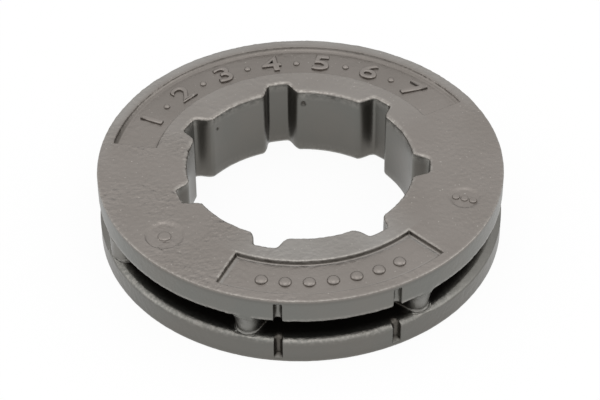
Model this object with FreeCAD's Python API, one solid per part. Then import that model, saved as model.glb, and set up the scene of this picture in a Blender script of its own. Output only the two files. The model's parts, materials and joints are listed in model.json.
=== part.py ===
import FreeCAD, Part
import math
import os

# Rim sprocket of a chainsaw: one steel casting with two flanges, round-nosed teeth between them that drive
# the chain, and a splined bore that slides on the hub of the clutch drum. The bore axis is Z, the lower face
# lies on z = 0, and the pocket with the wear marks faces -Y. All sizes are in millimetres and degrees.

# Rim
outer_diameter = 35.4
height = 7.0
rim_edge_chamfer = 0.25

# Chain groove and teeth
tooth_count = 7
groove_width = 2.0
lip_chamfer = 0.3
nose_radius = 1.25
nose_setback = 0.15
flank_angle = 17.5
hub_wall = 1.4
pocket_corner_round = 1.5
tooth_foot_chamfer = 0.25

# Splined bore
land_diameter = 19.75
slot_root_diameter = 22.5
slot_mouth_width = 2.75
slot_root_width = 1.9
slot_mouth_round = 0.45
slot_root_round = 0.35
bore_edge_chamfer = 0.2

# Wear notches in both flanges, on each side of one pocket
notch_angle = 16.5
notch_width = 0.75
notch_depth = 0.5
notch_end_margin = 0.45
notch_end_chamfer = 0.15

# Recessed marking panels on the upper face
panel_depth = 0.4
panel_rim_margin = 1.05
panel_hub_margin = 1.6
panel_edge_chamfer = 0.1
size_panel_half_angle = 34.8
long_panel_half_angle = 70.0

# Shallow round dishes on the upper face, one on each side
dish_setback = 2.85
dish_wall_slope = 3.0
inspection_dish_radius = 1.6
inspection_dish_depth = 0.15
inspection_dish_angle = 209.5
code_dish_radius = 1.25
code_dish_depth = 0.08
code_dish_angle = 330.3

# Values worked out from the sizes above
outer_radius = outer_diameter / 2
land_radius = land_diameter / 2
slot_root_radius = slot_root_diameter / 2
pocket_floor_radius = slot_root_radius + hub_wall
nose_centre_radius = outer_radius - nose_setback - nose_radius
groove_bottom = (height - groove_width) / 2
groove_top = groove_bottom + groove_width
pitch_angle = 360.0 / tooth_count
first_tooth_angle = 90.0
marked_pocket_angle = 270.0
long_panel_angle = 90.0
overcut = 1.0

Vector = FreeCAD.Vector
ORIGIN = Vector(0, 0, 0)
Z_AXIS = Vector(0, 0, 1)


def polar(radius, angle, z=0.0):
    """Point at a radius and an angle about the bore axis."""
    turn = math.radians(angle)
    return Vector(radius * math.cos(turn), radius * math.sin(turn), z)


def turned(point, angle):
    """Point turned about the bore axis."""
    return FreeCAD.Rotation(Z_AXIS, angle).multVec(point)


def mirrored(point):
    """Point on the other side of the Y axis."""
    return Vector(-point.x, point.y, point.z)


def arc(start, middle, end):
    return Part.Arc(start, middle, end).toShape()


def line(start, end):
    return Part.LineSegment(start, end).toShape()


def prism(edges, bottom, top):
    """Solid with a flat outline in the XY plane, between two heights."""
    face = Part.Face(Part.Wire(edges))
    face.translate(Vector(0, 0, bottom))
    return face.extrude(Vector(0, 0, top - bottom))


def blend(flank_point, outward, side, radius, centre_radius):
    """Corner round between a straight flank and a circle about the bore axis.

    The flank runs outward through flank_point. The round's centre lies on one side of it, a radius away, and
    on centre_radius. Returns the point where the round meets the flank, and the round's centre.
    """
    base = flank_point + side * radius
    half = base.dot(outward)
    reach = math.sqrt(half * half - base.dot(base) + centre_radius * centre_radius) - half
    centre = base + outward * reach
    return centre - side * radius, centre


def halfway(centre, start, end):
    """Middle point of the short arc about a centre."""
    direction = (start - centre) + (end - centre)
    return centre + direction.normalize() * (start - centre).Length


def tooth_outline():
    """Edges of the toothed core: for each tooth a round nose, straight flanks and rounded pocket corners."""
    slope = math.radians(flank_angle)
    outward = Vector(-math.sin(slope), math.cos(slope), 0)
    side = Vector(math.cos(slope), math.sin(slope), 0)
    nose_centre = Vector(0, nose_centre_radius, 0)
    nose_tip = Vector(0, nose_centre_radius + nose_radius, 0)
    nose_end = nose_centre + side * nose_radius
    corner_radius = pocket_floor_radius + pocket_corner_round
    flank_end, corner = blend(nose_end, outward, side, pocket_corner_round, corner_radius)
    floor_end = corner * (pocket_floor_radius / corner.Length)
    corner_middle = halfway(corner, flank_end, floor_end)
    pocket_middle = polar(pocket_floor_radius, 90.0 - pitch_angle / 2)
    next_floor_end = turned(mirrored(floor_end), -pitch_angle)
    edges = []
    for index in range(tooth_count):
        angle = first_tooth_angle - 90.0 - index * pitch_angle
        right = [turned(point, angle) for point in (nose_end, flank_end, corner_middle, floor_end)]
        left = [turned(mirrored(point), angle) for point in (floor_end, corner_middle, flank_end, nose_end)]
        edges.append(arc(left[0], left[1], left[2]))
        edges.append(line(left[2], left[3]))
        edges.append(arc(left[3], turned(nose_tip, angle), right[0]))
        edges.append(line(right[0], right[1]))
        edges.append(arc(right[1], right[2], right[3]))
        edges.append(arc(right[3], turned(pocket_middle, angle), turned(next_floor_end, angle)))
    return edges


def spline_outline():
    """Edges of the bore: lands on the hub's circle and a tapered slot in line with each tooth."""
    mouth = Vector(slot_mouth_width / 2, land_radius, 0)
    root = Vector(slot_root_width / 2, slot_root_radius, 0)
    outward = (root - mouth).normalize()
    side = Vector(outward.y, -outward.x, 0)
    mouth_reach = land_radius + slot_mouth_round
    root_reach = slot_root_radius - slot_root_round
    flank_start, mouth_centre = blend(mouth, outward, side, slot_mouth_round, mouth_reach)
    flank_end, root_centre = blend(mouth, outward, side * -1, slot_root_round, root_reach)
    land_end = mouth_centre * (land_radius / mouth_centre.Length)
    root_end = root_centre * (slot_root_radius / root_centre.Length)
    mouth_middle = halfway(mouth_centre, land_end, flank_start)
    root_middle = halfway(root_centre, flank_end, root_end)
    slot_middle = Vector(0, slot_root_radius, 0)
    land_middle = polar(land_radius, 90.0 - pitch_angle / 2)
    next_land_end = turned(mirrored(land_end), -pitch_angle)
    corners = (root_end, root_middle, flank_end, flank_start, mouth_middle, land_end)
    edges = []
    for index in range(tooth_count):
        angle = first_tooth_angle - 90.0 - index * pitch_angle
        right = [turned(point, angle) for point in corners]
        left = [turned(mirrored(point), angle) for point in reversed(corners)]
        edges.append(arc(left[0], left[1], left[2]))
        edges.append(line(left[2], left[3]))
        edges.append(arc(left[3], left[4], left[5]))
        edges.append(arc(left[5], turned(slot_middle, angle), right[0]))
        edges.append(arc(right[0], right[1], right[2]))
        edges.append(line(right[2], right[3]))
        edges.append(arc(right[3], right[4], right[5]))
        edges.append(arc(right[5], turned(land_middle, angle), turned(next_land_end, angle)))
    return edges


def edges_at(shape, level, inner, outer):
    """Edges of a shape that lie in one level plane, between two radii."""
    slack = 0.001
    found = []
    for edge in shape.Edges:
        points = edge.discretize(5)
        radii = [math.hypot(point.x, point.y) for point in points]
        flat = all(abs(point.z - level) < slack for point in points)
        if flat and min(radii) > inner and max(radii) < outer:
            found.append(edge)
    return found


def rim_blank():
    """Solid disc with bevelled outer edges."""
    disc = Part.makeCylinder(outer_radius, height)
    rims = edges_at(disc, 0, outer_radius - overcut, outer_radius + overcut)
    rims += edges_at(disc, height, outer_radius - overcut, outer_radius + overcut)
    return disc.makeChamfer(rim_edge_chamfer, rims)


def chain_groove():
    """Space for the drive links: the groove all round, less the toothed core with its flared feet."""
    reach = outer_radius + overcut
    space = Part.makeCylinder(reach, groove_width, Vector(0, 0, groove_bottom))
    space = space.cut(prism(tooth_outline(), groove_bottom, groove_top))
    feet = edges_at(space, groove_bottom, 0, outer_radius) + edges_at(space, groove_top, 0, outer_radius)
    return space.makeChamfer(tooth_foot_chamfer, feet)


def lip_bevel():
    """Ring that bevels the groove's two lips between the teeth and leaves them whole at each tooth's foot."""
    inner = outer_radius - lip_chamfer
    reach = outer_radius + overcut
    bottom = groove_bottom - lip_chamfer
    top = groove_top + lip_chamfer
    section = [
        Vector(inner, 0, groove_bottom),
        Vector(outer_radius, 0, bottom),
        Vector(reach, 0, bottom),
        Vector(reach, 0, top),
        Vector(outer_radius, 0, top),
        Vector(inner, 0, groove_top),
    ]
    face = Part.Face(Part.makePolygon(section + section[:1]))
    space = face.revolve(ORIGIN, Z_AXIS, 360)
    foot_radius = nose_radius + tooth_foot_chamfer
    for index in range(tooth_count):
        centre = polar(nose_centre_radius, first_tooth_angle + index * pitch_angle, bottom)
        space = space.cut(Part.makeCylinder(foot_radius, top - bottom, centre))
    return space


def wear_notch(angle):
    """Upright notch across both flanges, with a round bottom and blind ends short of the outer faces."""
    half_width = notch_width / 2
    bottom_centre = outer_radius - notch_depth + half_width
    mouth = outer_radius + overcut
    left = Vector(bottom_centre, half_width, 0)
    right = Vector(bottom_centre, -half_width, 0)
    outline = [
        arc(left, Vector(bottom_centre - half_width, 0, 0), right),
        line(right, Vector(mouth, -half_width, 0)),
        line(Vector(mouth, -half_width, 0), Vector(mouth, half_width, 0)),
        line(Vector(mouth, half_width, 0), left),
    ]
    bottom = notch_end_margin
    top = height - notch_end_margin
    notch = prism(outline, bottom, top)
    ends = edges_at(notch, bottom, 0, mouth + overcut) + edges_at(notch, top, 0, mouth + overcut)
    notch = notch.makeChamfer(notch_end_chamfer, ends)
    notch.rotate(ORIGIN, Z_AXIS, angle)
    return notch


def panel_recess(angle, half_angle):
    """Shallow recess in the upper face, a sector of a ring."""
    inner = slot_root_radius + panel_hub_margin
    outer = outer_radius - panel_rim_margin
    start = angle - half_angle
    end = angle + half_angle
    edges = [
        arc(polar(inner, start), polar(inner, angle), polar(inner, end)),
        line(polar(inner, end), polar(outer, end)),
        arc(polar(outer, end), polar(outer, angle), polar(outer, start)),
        line(polar(outer, start), polar(inner, start)),
    ]
    return prism(edges, height - panel_depth, height + overcut)


def dish(angle, radius, depth):
    """Shallow round dish in the upper face, with a flat floor and a sloping wall."""
    centre = polar(outer_radius - dish_setback, angle, height - depth)
    floor_radius = radius - depth * dish_wall_slope
    rise = depth + overcut
    return Part.makeCone(floor_radius, floor_radius + rise * dish_wall_slope, rise, centre)


def rim_sprocket():
    """The whole casting."""
    body = rim_blank()
    body = body.cut(chain_groove())
    body = body.cut(lip_bevel())
    body = body.cut(prism(spline_outline(), -overcut, height + overcut))
    bore_reach = slot_root_radius + bore_edge_chamfer
    bore_edges = edges_at(body, 0, 0, bore_reach) + edges_at(body, height, 0, bore_reach)
    body = body.makeChamfer(bore_edge_chamfer, bore_edges)
    body = body.cut(panel_recess(marked_pocket_angle, size_panel_half_angle))
    body = body.cut(panel_recess(long_panel_angle, long_panel_half_angle))
    panel_start = slot_root_radius + panel_hub_margin / 2
    panel_end = outer_radius - panel_rim_margin / 2
    body = body.makeChamfer(panel_edge_chamfer, edges_at(body, height, panel_start, panel_end))
    body = body.cut(dish(inspection_dish_angle, inspection_dish_radius, inspection_dish_depth))
    body = body.cut(dish(code_dish_angle, code_dish_radius, code_dish_depth))
    for side in (-1, 1):
        body = body.cut(wear_notch(marked_pocket_angle + side * notch_angle))
    return body


os.makedirs("parts", exist_ok=True)
rim_sprocket().exportStep("parts/rim_sprocket.step")
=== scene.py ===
import bisect
import bmesh
import bpy
import json
import math
from collections import namedtuple
from mathutils import Matrix, Quaternion, Vector, noise


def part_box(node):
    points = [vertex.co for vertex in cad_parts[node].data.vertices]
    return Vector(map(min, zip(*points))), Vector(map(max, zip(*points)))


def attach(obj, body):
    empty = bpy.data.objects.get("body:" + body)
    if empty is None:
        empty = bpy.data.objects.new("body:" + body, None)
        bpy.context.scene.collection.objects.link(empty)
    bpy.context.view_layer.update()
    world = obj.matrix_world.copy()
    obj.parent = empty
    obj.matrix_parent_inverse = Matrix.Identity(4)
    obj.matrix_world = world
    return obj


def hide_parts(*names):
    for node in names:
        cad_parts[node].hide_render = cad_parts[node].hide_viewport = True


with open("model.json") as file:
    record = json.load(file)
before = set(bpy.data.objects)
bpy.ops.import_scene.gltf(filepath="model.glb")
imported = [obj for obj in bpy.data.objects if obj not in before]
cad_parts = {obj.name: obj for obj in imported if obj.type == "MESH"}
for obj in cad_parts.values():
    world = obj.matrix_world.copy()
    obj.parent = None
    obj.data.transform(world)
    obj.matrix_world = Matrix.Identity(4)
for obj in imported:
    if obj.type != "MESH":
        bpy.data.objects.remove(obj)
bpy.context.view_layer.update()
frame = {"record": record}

# Rim: one investment-cast steel ring with two flanges, seven round-nosed teeth in the groove between them and
# a seven-slot splined bore. Its section is rounded, divided into rows and spun, and then the rows are drawn
# out to the slots, teeth, notches and panels. Skin and edges stay a little uneven, as they leave the mould.
MM = 0.001
rim_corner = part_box("rim_sprocket")[1]
rim_radius = rim_corner.x / MM
rim_height = rim_corner.z / MM
rim_middle = rim_height / 2
front = math.radians(270)
pitch = math.tau / 7
first_tooth = math.radians(90)
land_radius = frame["record"]["mounts"][0]["dims"]["r_mm"]
slot_root_radius = 11.25
slot_mouth_width = 2.75
slot_root_width = 1.9
slot_corner = 0.5
slot_mouth_corner = 0.75
bore_round = 0.26
bore_foot_round = 0.45
apron_radius = 12.45
groove_width = 2.0
groove_top = rim_middle + groove_width / 2
groove_bottom = rim_middle - groove_width / 2
pocket_floor = 12.65
pocket_corner = 2.0
foot_round = 0.25
nose_radius = 0.95
nose_centre = 16.35
nose_draft = 0.4
nose_foot_round = 0.12
nose_zone = (15.0, 16.5)
flank_slope = math.radians(17.5)
upright_tooth = first_tooth + 2 * pitch
upright_share = 0.9
upright_reach = (0.3, 0.1)
flush_gap = 0.3
roof_lift = 0.25
top_round = 0.09
bottom_round = 0.28
lip_round = 0.36
lip_slant = 1.5
lip_flatness = 0.35
side_lip_slant = 1.75
side_lip_flatness = 0.85
lip_front = math.radians(250)
lip_front_reach = (0.8, 1.15)
lip_ledge = 0.2
lip_ledge_range = 0.7
least_lip_share = 0.2
smallest_gap = 0.02
smallest_round = 0.01
notch_angles = [front - math.radians(16.5), front + math.radians(16.5)]
notch_width = 0.75
notch_depth = 0.5
notch_margin = 0.45
notch_end = 0.5
notch_end_slope = 0.15
panel_inner = 12.85
panel_outer = 16.65
panel_depth = 0.4
panel_round = 0.16
panel_draft = 0.025
wide_foot = 0.45
wide_foot_start = 0.02
wide_foot_room = 0.1
size_panel = (front, math.radians(34.8))
long_panel = (math.radians(90), math.radians(70))
dish_circle = 14.85
dish_wall = 0.2
left_dish = (math.radians(209.5), 1.6, 0.15)
right_dish = (math.radians(330.3), 1.25, 0.13)
pits = [(math.radians(78.0), 5.65, 0.24, 0.16), (math.radians(128.25), 5.5, 0.16, 0.1)]
pit_band = (5.2, 5.95)
rough_side = math.radians(195)
darkest_end = math.radians(157)
crevice_shaded_end = math.radians(160)
skin_swell = 0.012
edge_swell = 0.05
swell_waves = [(0.8, 0.3), (2.2, 0.4), (4.5, 0.5)]
column_count = 560
fine_count = 14400
spin_steps = 40
round_step = 0.065
wall_zone = 0.21
wall_row = 0.034
face_row = 0.18
notch_row = 0.12
rim_row = 0.25
pit_row = 0.11
groove_row = 0.75
plain_row = 0.9
tiny = 0.001


def ramp(value, zero_at, one_at):
    """Smooth step from 0 at one value to 1 at another."""
    share = min(max((value - zero_at) / (one_at - zero_at), 0.0), 1.0)
    return share * share * (3 - 2 * share)


def soft_max(a, b, blend):
    """The larger of two lengths, with a rounded change from one to the other."""
    overlap = max(blend - abs(a - b), 0.0) / blend
    return max(a, b) + overlap * overlap * blend / 4


def off_tooth(angle):
    """Angle from the nearest tooth or slot, whichever side it is on."""
    return abs((angle - first_tooth + pitch / 2) % pitch - pitch / 2)


def between(angle, other):
    """Angle between two directions."""
    return abs((angle - other + math.pi) % math.tau - math.pi)


def bore_line(angle):
    """Radius of the splined bore: lands, and tapered slots with rounded corners."""
    turn = off_tooth(angle)
    slope = (slot_mouth_width - slot_root_width) / 2 / (slot_root_radius - land_radius)
    flank = (slot_mouth_width / 2 + slope * land_radius) / (math.sin(turn) + slope * math.cos(turn))
    inside_root = -soft_max(-slot_root_radius, -flank, slot_corner)
    return soft_max(land_radius, inside_root, slot_mouth_corner)


def core_line(angle):
    """Radius of the toothed core: round noses, straight flanks and rounded pocket corners."""
    turn = off_tooth(angle)
    taper = math.tan(flank_slope)
    shoulder_x = nose_radius * math.cos(flank_slope)
    shoulder_y = nose_centre + nose_radius * math.sin(flank_slope)
    if turn < math.atan2(shoulder_x, shoulder_y):
        across = nose_centre * math.sin(turn)
        tooth = nose_centre * math.cos(turn) + math.sqrt(nose_radius ** 2 - across ** 2)
    else:
        tooth = (shoulder_x + taper * shoulder_y) / (math.sin(turn) + taper * math.cos(turn))
    return soft_max(pocket_floor, tooth, pocket_corner)


def square_to(line, angle):
    """Direction square to a plan line."""
    small = 0.0005
    radius = line(angle)
    climb = (line(angle + small) - line(angle - small)) / (2 * small)
    spoke = Vector((math.cos(angle), math.sin(angle)))
    return Vector((spoke.x * radius + spoke.y * climb, spoke.y * radius - spoke.x * climb)).normalized()


def notch_cut(angle):
    """How deep a wear notch is at an angle."""
    across = min(between(angle, notch) for notch in notch_angles) * rim_radius / (notch_width / 2)
    return notch_depth * math.sqrt(1 - across * across) if across < 1 else 0.0


def wall_drop(inside):
    """Depth of a panel at a distance inside its wall, which is rounded at its top and its foot."""
    reach = panel_round + panel_draft
    if abs(inside) > reach:
        return panel_depth if inside > 0 else 0.0
    if abs(inside) < panel_draft:
        return panel_depth / 2 + (panel_depth / 2 - panel_round) * inside / panel_draft
    curve = panel_round - math.sqrt(panel_round ** 2 - (reach - abs(inside)) ** 2)
    return panel_depth - curve if inside > 0 else curve


def panel_side(radius, angle, panel, outer):
    """Distance inside a marking panel's wall."""
    middle, half = panel
    return min(radius - panel_inner, outer - radius, (half - between(angle, middle)) * radius)


def panel_drop(radius, angle):
    """How far the panels and dishes lie below the upper face. The long panel's outer wall has a wide foot."""
    size_drop = wall_drop(panel_side(radius, angle, size_panel, panel_outer))
    long_drop = wall_drop(panel_side(radius, angle, long_panel, panel_outer + wide_foot_room))
    in_foot = min(max(panel_outer - radius + wide_foot_start, 0.0) / wide_foot, 1.0)
    foot_drop = panel_depth * math.sqrt(1 - (1 - in_foot) ** 2)
    drop = max(size_drop, min(long_drop, foot_drop))
    for dish_angle, size, depth in (left_dish, right_dish):
        out = radius * math.cos(angle - dish_angle) - dish_circle
        away = math.hypot(out, radius * math.sin(angle - dish_angle))
        drop += depth * ramp(away, size + dish_wall / 2, size - dish_wall / 2)
    return drop


def row_spacing(radius, z):
    """Spacing of rows on a straight run of the section: closest at the panels' walls, notch ends and pits."""
    if z > rim_height - tiny:
        by_wall = abs(radius - panel_inner) < wall_zone or -wide_foot < radius - panel_outer < wall_zone
        return wall_row if by_wall else face_row
    if radius > rim_radius - tiny:
        by_end = min(z, rim_height - z) < notch_margin + notch_end
        return notch_row if by_end else rim_row
    if radius < land_radius + tiny:
        return pit_row if pit_band[0] < z < pit_band[1] else plain_row
    return plain_row if z < tiny else groove_row


section_corners = [
    (land_radius, 0.0, bore_foot_round),
    (land_radius, pit_band[0], 0.0),
    (land_radius, pit_band[1], 0.0),
    (land_radius, rim_height, bore_round),
    (apron_radius, rim_height, 0.0),
    (panel_inner - wall_zone, rim_height, 0.0),
    (panel_inner + wall_zone, rim_height, 0.0),
    (panel_outer - wide_foot, rim_height, 0.0),
    (panel_outer + wall_zone, rim_height, 0.0),
    (rim_radius, rim_height, top_round),
    (rim_radius, rim_height - notch_margin - notch_end, 0.0),
    (rim_radius, groove_top, lip_round),
    (pocket_floor, groove_top, foot_round),
    (pocket_floor, groove_bottom, foot_round),
    (rim_radius, groove_bottom, lip_round),
    (rim_radius, notch_margin + notch_end, 0.0),
    (rim_radius, 0.0, bottom_round),
    (apron_radius, 0.0, 0.0),
]
open_edges = [corner for corner in section_corners if corner[2] and corner[0] != pocket_floor]
shell = bmesh.new()
radius_layer = shell.verts.layers.float.new("section_radius")
scale_and_shade_layer = shell.verts.layers.float.new("scale_and_shade")
wear_and_highlight_layer = shell.verts.layers.float.new("wear_and_highlight")
upper_layer = shell.verts.layers.float.new("upper")
bore_layer = shell.verts.layers.float.new("broached")
rubbed_and_lit_layer = shell.verts.layers.float.new("rubbed_and_lit")
crevice_shade_layer = shell.verts.layers.float.new("crevice_shade_share")
pimply_layer = shell.verts.layers.float.new("pimply")
edge_layer = shell.verts.layers.float.new("edge")
corners = [shell.verts.new((radius, 0, z)) for radius, z, size in section_corners]
for index in range(len(corners)):
    shell.edges.new((corners[index - 1], corners[index]))
for corner, (radius, z, size) in zip(corners, section_corners):
    if size:
        bmesh.ops.bevel(
            shell, geom=[corner], offset=size, affect="VERTICES", segments=math.ceil(size / round_step),
            profile=0.5, material=-1,
        )
for run in list(shell.edges):
    halfway = (run.verts[0].co + run.verts[1].co) / 2
    cuts = math.ceil(run.calc_length() / row_spacing(halfway.x, halfway.z) - 0.01) - 1
    if cuts > 0:
        bmesh.ops.subdivide_edges(shell, edges=[run], cuts=cuts)
for point in shell.verts:
    point[radius_layer] = point.co.x
bmesh.ops.spin(
    shell, geom=shell.verts[:] + shell.edges[:], cent=(0, 0, 0), axis=(0, 0, 1), angle=math.tau,
    steps=spin_steps, use_merge=True,
)
hoops = []
for edge in shell.edges:
    start, end = edge.verts
    if abs(start[radius_layer] - end[radius_layer]) + abs(start.co.z - end.co.z) < 0.0001:
        hoops.append(edge)
bmesh.ops.subdivide_edges(shell, edges=hoops, cuts=column_count // spin_steps - 1, use_grid_fill=True)

# The columns of points stand closer at the slots' flanks, the notches, the ends of the panels, the dishes and
# the pits. A close place has angles, their radius, the distances where it ends and is full, and a weight.
slot_flank_angle = 6.5
dish_zone_radius = 14.8
panel_ends = [middle + side * half for middle, half in (size_panel, long_panel) for side in (-1, 1)]
dish_angles = [left_dish[0], right_dish[0]]
pit_angles = [pit[0] for pit in pits]
close_places = [
    (notch_angles, rim_radius, 0.72, 0.32, 5.0),
    (panel_ends, panel_outer, 0.4, 0.2, 6.0),
    (dish_angles, dish_zone_radius, 2.4, 1.2, 1.5),
    (pit_angles, land_radius, 0.6, 0.3, 1.0),
]
fine_angles = [math.tau * index / fine_count for index in range(fine_count)]
crowding = [0.0]
for angle in fine_angles:
    density = 1.0 + ramp(abs(math.degrees(off_tooth(angle)) - slot_flank_angle), 5.0, 3.0)
    for places, radius, none_from, full_to, extra in close_places:
        away = min(between(angle, place) for place in places) * radius
        density += extra * ramp(away, none_from, full_to)
    crowding.append(crowding[-1] + density)
Column = namedtuple("Column", "angle spoke bore_edge bore_square core_edge core_square ledge cut")
columns = []
for index in range(column_count):
    angle = fine_angles[bisect.bisect_right(crowding, crowding[-1] * index / column_count) - 1]
    spoke = Vector((math.cos(angle), math.sin(angle)))
    columns.append(Column(
        angle=angle,
        spoke=spoke,
        bore_edge=spoke * bore_line(angle),
        bore_square=square_to(bore_line, angle),
        core_edge=spoke * core_line(angle),
        core_square=square_to(core_line, angle),
        ledge=rim_radius - core_line(angle),
        cut=notch_cut(angle),
    ))


def mark_skin(point, column, radius, z):
    """Marks the uneven, worn edges of the section, which also carry a painted highlight, the warm, pimply
    skin of the upper face, lighter than the walls partly as painted light, and where the painted crevice
    shade falls.
    """
    by_edge = ramp(min(math.hypot(radius - r, z - h) / size for r, h, size in open_edges), 1.5, 0.5)
    point[edge_layer] = by_edge * (1.0 if z > rim_middle else 0.15)
    # The worn edges are partly real wear and partly a painted highlight.
    point[wear_and_highlight_layer] = by_edge * (0.85 if z > groove_top + lip_round else 0.5)
    point[upper_layer] = ramp(z, rim_height - 0.3, rim_height - 0.1)
    # The painted crevice shade falls on the upper face.
    point[crevice_shade_layer] = point[upper_layer]
    roughest = ramp(between(column.angle, rough_side), 1.5, 0.5)
    point[pimply_layer] = 0.2 + point[upper_layer] * (0.3 + 0.5 * roughest)


def place_by_bore(column, radius, z):
    """Plan place of a point on the bore's wall, on its rounded edges or on the ring around it."""
    depth = radius - land_radius
    corner = bore_round if z > rim_middle else bore_foot_round
    share = max(depth - corner, 0) / (apron_radius - land_radius - corner)
    edge = column.bore_edge + column.bore_square * min(depth, corner)
    return edge.lerp(column.spoke * apron_radius, share)


def place_in_groove(point, column, radius, z):
    """Plan place and height of a point in the groove or on its lips, with its marks.

    The rows run from the toothed core to the rim. A nose leans out until it is flush with the upper flange,
    and there the rows of the groove's roof lie on the rim's wall. One tooth stands nearly upright, and the
    lower lip is wider and flatter at the sides.
    """
    past = abs(z - rim_middle) - groove_width / 2
    in_groove = past < tiny
    by_nose = ramp(column.core_edge.length, *nose_zone)
    draft = nose_draft * by_nose
    upright = upright_share * ramp(between(column.angle, upright_tooth), *upright_reach)
    lean = max(min(max((z - groove_bottom) / groove_width, 0), 1), upright)
    core_here = column.core_edge + column.core_square * (draft * lean)
    if z > rim_middle:
        at_side = 0.0
        slant = 1.0
        foot = foot_round + (nose_foot_round - foot_round) * by_nose
        left_over = rim_radius - (column.core_edge + column.core_square * (draft + foot)).length
        lip = min(max(left_over - smallest_gap, smallest_round), lip_round)
        flush = ramp(left_over, flush_gap, 0.0)
    else:
        at_side = ramp(between(column.angle, lip_front), *lip_front_reach)
        slant = lip_slant + (side_lip_slant - lip_slant) * at_side
        left_over = column.ledge - draft * lean
        lip = lip_round * min(max((left_over - lip_ledge) / lip_ledge_range, least_lip_share), 1)
        foot = max(min(foot_round, left_over - lip * slant - smallest_gap), smallest_round)
        flush = 0.0
    lip_edge = rim_radius - lip * slant
    if radius > rim_radius - lip_round - tiny:
        inset = rim_radius - radius
        if z < rim_middle:
            along = math.atan2(lip_round - inset, lip_round - past) / (math.pi / 2)
            flatness = lip_flatness + (side_lip_flatness - lip_flatness) * at_side
            inset += flatness * (lip_round * (1 - along) - inset)
            past += flatness * (lip_round * along - past)
        plan = column.spoke * (rim_radius - inset * slant * lip / lip_round)
        past = past * lip / lip_round + roof_lift * flush
    elif radius < pocket_floor + foot_round + tiny:
        plan = core_here + column.core_square * ((radius - pocket_floor) * foot / foot_round)
        past *= foot / foot_round if past > -foot_round - tiny else 1
    else:
        share = (radius - pocket_floor - foot_round) / (rim_radius - lip_round - pocket_floor - foot_round)
        plan = (core_here + column.core_square * foot).lerp(column.spoke * lip_edge, share)
        past += roof_lift * flush * share
    if in_groove:
        plan *= min(1, (rim_radius - smallest_round) / plan.length)
        # Darker deeper in the groove: partly real scale, partly painted shade.
        point[scale_and_shade_layer] = ramp(plan.length, rim_radius - 0.5, rim_radius - 1.7)
        if radius > pocket_floor + foot_round + tiny:
            # Painted shade on the lower ledge's floor next to the lip.
            ledge_shade = (1 - by_nose) * ramp(plan.length, lip_edge, lip_edge - 0.2)
            point[scale_and_shade_layer] = max(point[scale_and_shade_layer], ledge_shade)
        else:
            # The teeth's noses are lighter: partly rubbed, partly painted light.
            point[rubbed_and_lit_layer] = 0.25 * by_nose
    point[edge_layer] *= 1 - flush
    point[wear_and_highlight_layer] *= (1 - flush) * (1 - 0.85 * at_side)
    point[pimply_layer] *= 1 - 0.7 * at_side
    return plan, rim_middle + math.copysign(groove_width / 2 + past, z - rim_middle)


def mark_rubbed_and_lit(point, column, plan):
    """Marks the lighter strips of the upper face, partly rubbed and partly painted highlight: beside the
    bore, and along the rim behind the long panel.
    """
    by_size_panel, by_long_panel = [
        ramp(between(column.angle, middle), half + 0.25, half - 0.25)
        for middle, half in (size_panel, long_panel)
    ]
    inner_strip = ramp(plan.length, panel_inner + 0.1, panel_inner - 0.2)
    outer_strip = ramp(plan.length, rim_radius - 1.3, rim_radius - 0.3)
    behind = by_long_panel * max(outer_strip, 0.3 * inner_strip)
    point[rubbed_and_lit_layer] = max(0.9 * by_size_panel * inner_strip, behind)


def mark_size_panel(point, column, radius):
    """Paints shade on the size panel's wall, and a worn line at its top edge and a line at its foot as
    painted highlights, but not beside the rim.
    """
    inside = panel_side(radius, column.angle, size_panel, panel_outer)
    off_rim = ramp(abs(radius - panel_outer), 0.15, 0.45)
    highlight_line = 0.9 * off_rim * ramp(abs(inside + 0.14), 0.12, 0.04)
    lit_foot_line = off_rim * ramp(abs(inside - 0.24), 0.15, 0.05)
    point[scale_and_shade_layer] = 0.9 * ramp(abs(inside - 0.02), 0.098, 0.028)
    point[wear_and_highlight_layer] = max(point[wear_and_highlight_layer], highlight_line)
    point[rubbed_and_lit_layer] = max(point[rubbed_and_lit_layer], lit_foot_line)


def mark_long_panel(point, column, radius):
    """Paints shade along the long panel's outer wall, most at its left end, where its inner wall is shaded
    too, and thinly on its floor.
    """
    middle, half = long_panel
    turn = between(column.angle, middle)
    left_end = ramp(between(column.angle, darkest_end), 0.25, 0.0)
    outer_wall = ramp(abs(radius - panel_outer + 0.1), 0.255, 0.105)
    inner_wall = ramp(abs(radius - panel_inner - 0.1), 0.225, 0.075)
    on_floor = ramp(radius, panel_inner, panel_inner + 0.3) * ramp(radius, panel_outer, panel_outer - 0.3)
    floor_shade = 0.18 * on_floor * ramp(turn, half, half - 0.5)
    # The scale here is painted shade.
    scale = max((0.3 + 0.45 * left_end) * outer_wall, 0.15 * left_end * inner_wall, floor_shade)
    point[scale_and_shade_layer] = max(point[scale_and_shade_layer], scale * ramp(turn, half, half - 0.02))


def clear_crevice_shade(point, column, radius):
    """Clears the painted crevice shade off the long panel's walls, except at the left end of its outer wall.
    """
    middle, half = long_panel
    clean = ramp(abs(radius - panel_inner), 0.5, 0.25)
    if panel_inner < radius < panel_outer - 0.5:
        clean = max(clean, ramp(abs(half - between(column.angle, middle)) * radius, 0.6, 0.3))
    by_outer_wall = 1 - abs(radius - panel_outer + 0.2) / 0.8
    off_left_end = ramp(between(column.angle, crevice_shaded_end), 0.0, 0.4)
    clean = max(clean, ramp(by_outer_wall * off_left_end, 0.0, 0.5))
    off_size_panel = ramp(between(column.angle, size_panel[0]) - size_panel[1], 0.1, 0.2)
    point[crevice_shade_layer] *= 1 - clean * off_size_panel


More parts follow.
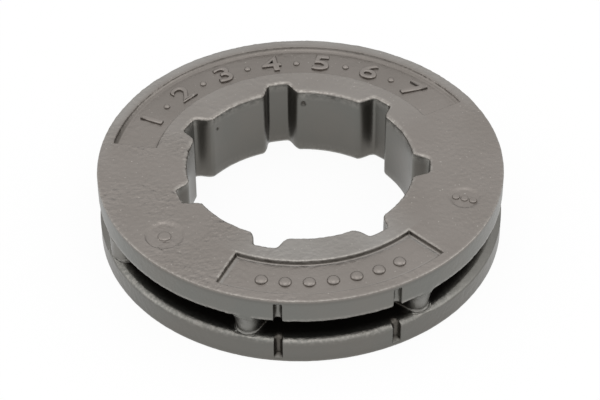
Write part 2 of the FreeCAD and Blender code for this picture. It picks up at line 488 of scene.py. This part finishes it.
def mark_flanges(point, radius, z):
    """Paints shade on the flanges' walls: the lower wall darker towards the floor, the rim's foot darkest,
    and a band under the upper face's edge.
    """
    if radius > rim_radius - tiny and z < groove_bottom:
        point[scale_and_shade_layer] = 0.28 + 0.15 * ramp(z, 1.2, 0.0)
    if radius > rim_radius - bottom_round and z < bottom_round:
        point[scale_and_shade_layer] = 0.35 + 0.5 * ramp(z, bottom_round, 0.0)
    if radius > rim_radius - tiny and z > groove_top:
        point[scale_and_shade_layer] = 0.25 * ramp(rim_height - z, 0.64, 0.24)


def pit_in_bore(point, column, z):
    """Marks the bore's broached wall and paints shade on it, darker towards the bottom, on the slot flanks
    and in the pits, and gives how deep a casting pit is there.
    """
    out = column.bore_edge.length
    on_flank = ramp(min(out - land_radius, slot_root_radius - out), 0.0, 0.3)
    bore_shade = 0.55 * (1 - z / rim_height) + 0.15 * ramp(out, land_radius, land_radius + 0.6)
    point[bore_layer] = ramp(z, rim_height, rim_height - 0.5)
    point[scale_and_shade_layer] = max(bore_shade, 0.65 * on_flank) * ramp(z, rim_height, rim_height - 1.0)
    sunk = 0.0
    for pit_angle, pit_z, pit_radius, pit_depth in pits:
        away = math.hypot(between(column.angle, pit_angle) * land_radius, z - pit_z)
        in_pit = ramp(away, 1.3 * pit_radius, 0.3 * pit_radius)
        sunk += pit_depth * in_pit
        point[scale_and_shade_layer] = max(point[scale_and_shade_layer], in_pit)
    return sunk


def notch_in_rim(point, column, radius, z):
    """Paints shade on a wear notch's walls, least in the upper right one, and gives the notch's depth there.
    """
    highest = rim_height - notch_margin
    ends = ramp(z, notch_margin, notch_margin + notch_end_slope) * ramp(z, highest, highest - notch_end_slope)
    on_wall = ends * ramp(radius, rim_radius - 0.5, rim_radius - 0.3)
    # The scale here is the notch's painted shade; the lower notches also take painted crevice shade.
    if z < rim_middle:
        scale = 0.95
        point[crevice_shade_layer] = max(point[crevice_shade_layer], on_wall)
    else:
        scale = (0.3 if column.angle > front else 0.95) * ramp(column.cut / notch_depth, 1.05, 0.55)
    point[scale_and_shade_layer] = max(point[scale_and_shade_layer], scale * on_wall)
    return column.cut * ends * ramp(radius, rim_radius - 1.4, rim_radius - 0.4)


for point in shell.verts:
    radius = point[radius_layer]
    z = point.co.z
    column = columns[round(math.atan2(point.co.y, point.co.x) / math.tau * column_count) % column_count]
    mark_skin(point, column, radius, z)
    if radius < apron_radius - tiny:
        plan = place_by_bore(column, radius, z)
    elif radius > apron_radius + tiny and abs(z - rim_middle) < groove_width / 2 + lip_round + tiny:
        plan, z = place_in_groove(point, column, radius, z)
    else:
        plan = column.spoke * radius
    if z > rim_height - tiny:
        mark_rubbed_and_lit(point, column, plan)
        if radius > apron_radius:
            mark_size_panel(point, column, radius)
            mark_long_panel(point, column, radius)
            clear_crevice_shade(point, column, radius)
            drop = panel_drop(radius, column.angle)
            point[pimply_layer] *= 1 - 0.6 * ramp(drop, 0.0, panel_depth)
            z -= drop
    mark_flanges(point, radius, z)
    if radius < land_radius + tiny:
        plan += column.spoke * pit_in_bore(point, column, z)
    if column.cut:
        plan -= column.spoke * notch_in_rim(point, column, radius, z)
    point.co = (plan.x, plan.y, z)
bmesh.ops.recalc_face_normals(shell, faces=shell.faces)
shell.normal_update()
for point in shell.verts:
    swell = sum(noise.noise(point.co * per_mm) * share for per_mm, share in swell_waves)
    depth = skin_swell * (1 - 0.8 * point[bore_layer]) + edge_swell * point[edge_layer]
    point.co -= point.normal * (depth * max(0.5 + swell, 0))
bmesh.ops.scale(shell, vec=(MM, MM, MM), verts=shell.verts)
for name in ("section_radius", "edge"):
    shell.verts.layers.float.remove(shell.verts.layers.float[name])
for face in shell.faces:
    face.smooth = True
rim_mesh = bpy.data.meshes.new("rim")
shell.to_mesh(rim_mesh)
shell.free()
rim = bpy.data.objects.new("rim", rim_mesh)
bpy.context.scene.collection.objects.link(rim)
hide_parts("rim_sprocket")
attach(rim, "root")


def from_hex(colour):
    """Linear colour of an sRGB hex value."""
    parts = [int(colour[index:index + 2], 16) / 255 for index in (1, 3, 5)]
    return [c / 12.92 if c <= 0.04045 else ((c + 0.055) / 1.055) ** 2.4 for c in parts] + [1.0]


def add_node(tree, kind, inputs, **settings):
    """Adds a node with its settings, and sets or links its inputs."""
    made = tree.nodes.new(kind)
    for name, value in settings.items():
        setattr(made, name, value)
    for socket, value in inputs.items():
        if isinstance(value, bpy.types.NodeSocket):
            tree.links.new(value, made.inputs[socket])
        else:
            made.inputs[socket].default_value = value
    return made


# Heat-treated cast steel: a warm grey skin with soft pimples, fine grain and a few bright specks painted as
# glints, brighter and smoother where edges have rubbed, partly as painted highlight, and almost black in the
# groove and in corners, partly from scale and partly as painted shade.
steel = bpy.data.materials.new("heat_treated_cast_steel")
steel.use_nodes = True
tree = steel.node_tree
shader = tree.nodes["Principled BSDF"]
spot = add_node(tree, "ShaderNodeTexCoord", {}).outputs["Object"]
mark = {}
for name in ("scale_and_shade", "wear_and_highlight", "upper", "crevice_shade_share", "rubbed_and_lit", "pimply", "broached"):
    mark[name] = add_node(tree, "ShaderNodeAttribute", {}, attribute_name=name).outputs["Fac"]
grain_sizes = {
    "patch": (5.0, 3.0),
    "rough_patch": (4.0, 2.0),
    "pimple": (0.5, 1.0),
    "fleck": (0.3, 1.0),
    "speck": (0.22, 1.0),
    "grain": (0.16, 2.0),
}
pattern = {}
for name, (size, detail) in grain_sizes.items():
    settings = {"Vector": spot, "Scale": 1 / (size * MM), "Detail": detail}
    pattern[name] = add_node(tree, "ShaderNodeTexNoise", settings).outputs[0]
# Painted crevice shade: an occlusion node darkens the skin within 0.35 mm of corners.
open_share = add_node(tree, "ShaderNodeAmbientOcclusion", {"Distance": 0.35 * MM}, samples=4).outputs["AO"]
ranges = {
    "cloud": (pattern["patch"], 0.35, 0.65, 0.0, 0.3),
    "painted_glints": (pattern["speck"], 0.72, 0.8, 0.0, 0.6),
    "chips_and_glints": (pattern["fleck"], 0.42, 0.62, 0.25, 0.9),
    "painted_crevice_shade": (open_share, 0.15, 0.7, 0.6, 0.0),
    "gloss": (mark["wear_and_highlight"], 0.0, 1.0, 0.37, 0.33),
    "relief": (mark["broached"], 0.0, 1.0, 1.0, 0.2),
    "swollen": (pattern["rough_patch"], 0.38, 0.58, 0.35, 1.0),
}
amount = {}
for name, values in ranges.items():
    amount[name] = add_node(tree, "ShaderNodeMapRange", dict(enumerate(values))).outputs[0]
products = [
    ("painted_glints", mark["upper"]),
    ("chips_and_glints", mark["wear_and_highlight"]),
    ("painted_crevice_shade", mark["crevice_shade_share"]),
    ("swollen", mark["pimply"]),
    ("swollen", amount["relief"]),
]
for name, share in products:
    factors = {0: amount[name], 1: share}
    amount[name] = add_node(tree, "ShaderNodeMath", factors, operation="MULTIPLY").outputs[0]
coats = [
    # The upper face is a lighter skin than the walls: partly its own tone, partly painted light, with the
    # walls painted darker than the lit top.
    (mark["upper"], "#8e8883"),
    (mark["broached"], "#6f6f6b"),
    # Rubbed strips and the teeth's noses: partly real wear, partly painted highlight.
    (mark["rubbed_and_lit"], "#9b9894"),
    (amount["cloud"], "#7d7771"),
    # Painted glints: small bright specks on the upper face that stand in for sparkle of light.
    (amount["painted_glints"], "#c9c4bd"),
    # Bright chips on worn edges: partly real wear, partly painted edge highlights.
    (amount["chips_and_glints"], "#a9a59f"),
    # Painted crevice shade in corners, creases and at the feet of walls and marks.
    (amount["painted_crevice_shade"], "#2e2b28"),
    # Scale and painted shade: near black in the groove, partly real scale, and painted shade on panel walls,
    # notches, slot flanks, pits and flange walls.
    (mark["scale_and_shade"], "#55514c"),
]
skin = from_hex("#747470")
for share, coat in coats:
    blend = {0: share, 6: skin, 7: from_hex(coat)}
    skin = add_node(tree, "ShaderNodeMix", blend, data_type="RGBA").outputs[2]
tree.links.new(skin, shader.inputs["Base Color"])
shader.inputs["Metallic"].default_value = 1.0
tree.links.new(amount["gloss"], shader.inputs["Roughness"])
pimples = add_node(
    tree, "ShaderNodeBump",
    {"Strength": amount["swollen"], "Height": pattern["pimple"], "Distance": 0.2 * MM},
).outputs[0]
bumps = add_node(
    tree, "ShaderNodeBump",
    {"Strength": amount["relief"], "Height": pattern["grain"], "Distance": 0.012 * MM, "Normal": pimples},
).outputs[0]
tree.links.new(bumps, shader.inputs["Normal"])
rim_mesh.materials.append(steel)

# Index numbers: plain raised numbers 1 to 7, one for each tooth, with a pip between each pair. They stand on
# the long panel's floor and are cast with the rim, so their edges are as soft as the mould's.
panel_floor = rim_height - panel_depth
number_size = 2.9
number_widening = 1.25
number_circle = 14.6
number_step = math.radians(18)
number_core = 0.03
number_round = 0.14
number_thinning = 0.08
number_lift = 0.04
number_pip = (0.3, 0.22, 0.22)


def on_face(radius, angle, z, turn):
    """Place of a mark on the upper face, turned about its own middle."""
    place = Matrix.Translation((radius * math.cos(angle), radius * math.sin(angle), z))
    return Matrix.Scale(MM, 4) @ place @ Matrix.Rotation(turn, 4, "Z")


def add_pip(shape, pip, radius, angle, z):
    """Adds a round pip to a shape, flat at its top where it is lower than its round would be."""
    size, height, top = pip
    made = bmesh.ops.create_uvsphere(shape, u_segments=24, v_segments=16, radius=1.0)["verts"]
    bmesh.ops.scale(shape, vec=(size, size, height), verts=made)
    for point in made:
        point.co.z = min(point.co.z, top)
    bmesh.ops.transform(shape, matrix=on_face(radius, angle, z, angle), verts=made)


def add_piece(title, shape):
    """Makes a cast mark of a finished mesh, in the rim's steel."""
    mesh = bpy.data.meshes.new(title)
    # The marks take the upper face's tone and part of the painted crevice shade.
    for name, share in (("upper", 1.0), ("crevice_shade_share", 0.6)):
        mark_layer = shape.verts.layers.float.new(name)
        for point in shape.verts:
            point[mark_layer] = share
    for face in shape.faces:
        face.smooth = True
    shape.to_mesh(mesh)
    shape.free()
    piece = bpy.data.objects.new(title, mesh)
    bpy.context.scene.collection.objects.link(piece)
    mesh.materials.append(steel)
    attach(piece, "root")


numbers = bmesh.new()
for count in range(7):
    angle = long_panel[0] + number_step * (3 - count)
    letters = bpy.data.curves.new("number", "FONT")
    letters.body = str(count + 1)
    letters.size = number_size
    letters.align_x = "CENTER"
    letters.align_y = "CENTER"
    letters.extrude = number_core
    letters.bevel_depth = number_round
    letters.bevel_resolution = 4
    letters.offset = -number_thinning
    holder = bpy.data.objects.new("number", letters)
    bpy.context.scene.collection.objects.link(holder)
    drawn = holder.evaluated_get(bpy.context.evaluated_depsgraph_get())
    number_mesh = bpy.data.meshes.new_from_object(drawn)
    bpy.data.objects.remove(holder)
    number_mesh.transform(Matrix.Diagonal((number_widening, 1.0, 1.0, 1.0)))
    number_mesh.transform(on_face(number_circle, angle, panel_floor + number_lift, angle - math.pi / 2))
    numbers.from_mesh(number_mesh)
    bpy.data.meshes.remove(number_mesh)
bmesh.ops.remove_doubles(numbers, verts=numbers.verts, dist=0.002 * MM)
bmesh.ops.recalc_face_normals(numbers, faces=numbers.faces)
for count in range(6):
    add_pip(numbers, number_pip, number_circle, long_panel[0] + number_step * (2.5 - count), panel_floor)
add_piece("index_numbers", numbers)

# Tooth pips: seven raised round pips in the size panel, one for each tooth. They stand on the panel's floor
# and are cast with the rim.
tooth_pip = (0.55, 0.3, 0.27)
tooth_pip_circle = 15.0
tooth_pip_step = math.radians(7.6)
tooth_pips = bmesh.new()
for count in range(7):
    angle = size_panel[0] + tooth_pip_step * (count - 3)
    add_pip(tooth_pips, tooth_pip, tooth_pip_circle, angle, panel_floor)
add_piece("tooth_pips", tooth_pips)

# Inspection pip: one small raised pip in the round dish on the left of the upper face. It is sunk a little
# into the dish's floor and is cast with the rim.
inspection_size = (0.58, 0.2, 0.14)
pip_sink = 0.01
dish_angle, dish_size, dish_depth = left_dish
inspection_pip = bmesh.new()
add_pip(inspection_pip, inspection_size, dish_circle, dish_angle, rim_height - dish_depth - pip_sink)
add_piece("inspection_pip", inspection_pip)

# Code pips: three small raised pips in the round dish on the right of the upper face, in a row that points at
# the bore. They are sunk a little into the dish's floor and are cast with the rim.
code_pip = (0.34, 0.2, 0.13)
code_pip_step = 0.75
dish_angle, dish_size, dish_depth = right_dish
code_pips = bmesh.new()
for count in range(3):
    pip_circle = dish_circle + code_pip_step * (count - 1)
    add_pip(code_pips, code_pip, pip_circle, dish_angle, rim_height - dish_depth - pip_sink)
add_piece("code_pips", code_pips)

# Floor: a plain white card under the rim. It is white to the camera and in reflections, and it keeps a faint
# shadow.
card = bpy.data.materials.new("white_card")
card.use_nodes = True
tree = card.node_tree
shader = tree.nodes["Principled BSDF"]
shader.inputs["Base Color"].default_value = from_hex("#f4f4f4")
shader.inputs["Roughness"].default_value = 0.9
path = add_node(tree, "ShaderNodeLightPath", {}).outputs
mirrored = add_node(
    tree, "ShaderNodeMath", {0: path["Is Glossy Ray"], 1: path["Is Transmission Ray"]}, operation="MAXIMUM"
).outputs[0]
lift = add_node(
    tree, "ShaderNodeMath", {0: path["Is Camera Ray"], 1: 0.94, 2: mirrored}, operation="MULTIPLY_ADD"
).outputs[0]
glow = add_node(tree, "ShaderNodeEmission", {"Color": from_hex("#ffffff"), "Strength": 1.0}).outputs[0]
both = add_node(tree, "ShaderNodeMixShader", {0: lift, 1: shader.outputs[0], 2: glow}).outputs[0]
tree.links.new(both, tree.nodes["Material Output"].inputs["Surface"])
sheet = bmesh.new()
bmesh.ops.create_grid(sheet, x_segments=1, y_segments=1, size=3.0)
floor_mesh = bpy.data.meshes.new("floor")
sheet.to_mesh(floor_mesh)
sheet.free()
floor_mesh.materials.append(card)
floor = bpy.data.objects.new("floor", floor_mesh)
bpy.context.scene.collection.objects.link(floor)

# Studio light: a pale room, a little brighter overhead than at the horizon, and three soft round boxes. Each
# box has an azimuth and elevation in degrees, a size and a reach from the rim in metres, and a radiance.
world = bpy.data.worlds.new("studio")
bpy.context.scene.world = world
world.use_nodes = True
tree = world.node_tree
room = tree.nodes["Background"]
room.inputs["Color"].default_value = from_hex("#ffffff")
toward = add_node(tree, "ShaderNodeTexCoord", {}).outputs["Generated"]
height = add_node(tree, "ShaderNodeSeparateXYZ", {0: toward}).outputs["Z"]
climb = add_node(tree, "ShaderNodeMath", {0: height, 1: height}, operation="MULTIPLY").outputs[0]
level = add_node(tree, "ShaderNodeMapRange", {0: climb, 1: 0.0, 2: 1.0, 3: 0.8, 4: 1.2}).outputs[0]
tree.links.new(level, room.inputs["Strength"])
path = add_node(tree, "ShaderNodeLightPath", {}).outputs
white = add_node(tree, "ShaderNodeBackground", {"Color": from_hex("#ffffff"), "Strength": 1.0}).outputs[0]
both = add_node(
    tree, "ShaderNodeMixShader", {0: path["Is Camera Ray"], 1: room.outputs[0], 2: white}
).outputs[0]
tree.links.new(both, tree.nodes["World Output"].inputs["Surface"])
lamps = [
    ("front_box", -10, 66, 0.16, 0.2, 0.6),
    ("left_box", -95, 25, 0.25, 0.35, 0.7),
    ("right_box", 75, 25, 0.25, 0.35, 0.9),
]
for name, azimuth, elevation, size, reach, radiance in lamps:
    lamp = bpy.data.lights.new(name, "AREA")
    lamp.shape = "DISK"
    lamp.size = size
    lamp.energy = radiance * math.pi * math.pi * size * size / 4
    box = bpy.data.objects.new(name, lamp)
    bpy.context.scene.collection.objects.link(box)
    side = math.radians(azimuth)
    climb = math.radians(elevation)
    toward = Vector((math.sin(side) * math.cos(climb), -math.cos(side) * math.cos(climb), math.sin(climb)))
    box.location = toward * reach
    box.rotation_euler = toward.to_track_quat("Z", "Y").to_euler()

# Camera: a long lens, as far off as the perspective of the photographed rim shows. Its focal length and the
# place of the rim's middle in the image are in pixels.
elevation = math.radians(40.86)
azimuth = math.radians(-10.1)
roll = math.radians(-0.51)
distance = 10.66 * rim_radius * MM
focal_px = 2140.0
centre_px = (300.58, 192.0)
image_width = 600
image_height = 400
level_back = Vector((math.sin(azimuth), -math.cos(azimuth), 0.0))
back = level_back * math.cos(elevation) + Vector((0.0, 0.0, math.sin(elevation)))
turn = (-back).to_track_quat("-Z", "Y") @ Quaternion((0, 0, 1), roll)
right = turn @ Vector((1, 0, 0))
up = turn @ Vector((0, 1, 0))
aim_shift = right * (image_width / 2 - centre_px[0]) + up * (centre_px[1] - image_height / 2)
camera_data = bpy.data.cameras.new("camera")
camera_data.sensor_width = 36.0
camera_data.lens = focal_px * camera_data.sensor_width / image_width
camera_data.clip_start = 0.01
camera = bpy.data.objects.new("camera", camera_data)
bpy.context.scene.collection.objects.link(camera)
camera.location = Vector((0, 0, rim_middle * MM)) + back * distance + aim_shift * (distance / focal_px)
camera.rotation_mode = "QUATERNION"
camera.rotation_quaternion = turn
bpy.context.scene.camera = camera
bpy.context.scene.view_settings.view_transform = "Standard"
